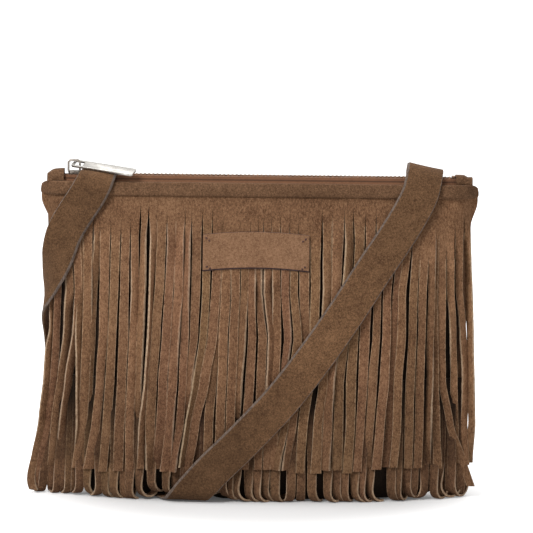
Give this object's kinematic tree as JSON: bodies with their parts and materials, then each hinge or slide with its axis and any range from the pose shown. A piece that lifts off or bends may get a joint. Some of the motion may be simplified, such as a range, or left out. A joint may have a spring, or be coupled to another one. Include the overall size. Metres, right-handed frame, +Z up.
{
  "type": "fringed suede shoulder bag",
  "caption": "Flat suede pouch with a zip along its top edge, a full front of hanging cut fringe, a small blank label patch and a long flat suede shoulder strap.",
  "frame": {"origin": "on the surface the bag stands on, under the middle of the pouch's flat foot", "axes": "+Z up, -Y out of the fringed front, +X to the right as the front is seen, along the zip"},
  "size_m": [0.2681, 0.1251, 0.2022],
  "materials": {
    "pouch_suede": "matte suede",
    "trim_suede": "matte suede",
    "fringe_suede": "matte suede",
    "patch_leather": "matte suede",
    "lining": "matte",
    "zip_tape": "woven",
    "zip_metal": "dark antiqued",
    "pull_metal": "satin"
  },
  "bodies": {
    "bag": {"front_panel": "pouch_suede", "back_panel": "pouch_suede", "front_lining": "lining", "back_lining": "lining", "front_top_band": "trim_suede", "back_top_band": "trim_suede", "upper_fringe": "fringe_suede", "lower_fringe": "fringe_suede", "label_patch": "patch_leather", "shoulder_strap": "trim_suede", "zip_tape_front": "zip_tape", "zip_tape_back": "zip_tape", "zip_teeth_front": "zip_metal", "zip_teeth_back": "zip_metal", "zip_top_stop_front": "zip_metal", "zip_top_stop_back": "zip_metal", "zip_bottom_stop": "zip_metal", "zip_tab_left": "trim_suede", "zip_tab_right": "trim_suede"},
    "slider": {"zip_slider": "zip_metal"},
    "pull": {"zip_pull": "pull_metal"}
  },
  "joints": [
    {"name": "zip_slide", "type": "slide", "parent": "bag", "child": "slider", "axis": [1, 0, 0], "range_m": [0, 0.22], "deforming": ["shoulder_strap", "zip_teeth_front", "zip_teeth_back"]},
    {"name": "pull_hinge", "type": "hinge", "parent": "slider", "child": "pull", "pos_m": [-0.1113, 0, 0.19915], "axis": [-0.3671, -0.8376, -0.4045], "range_deg": [0, 168]}
  ]
}
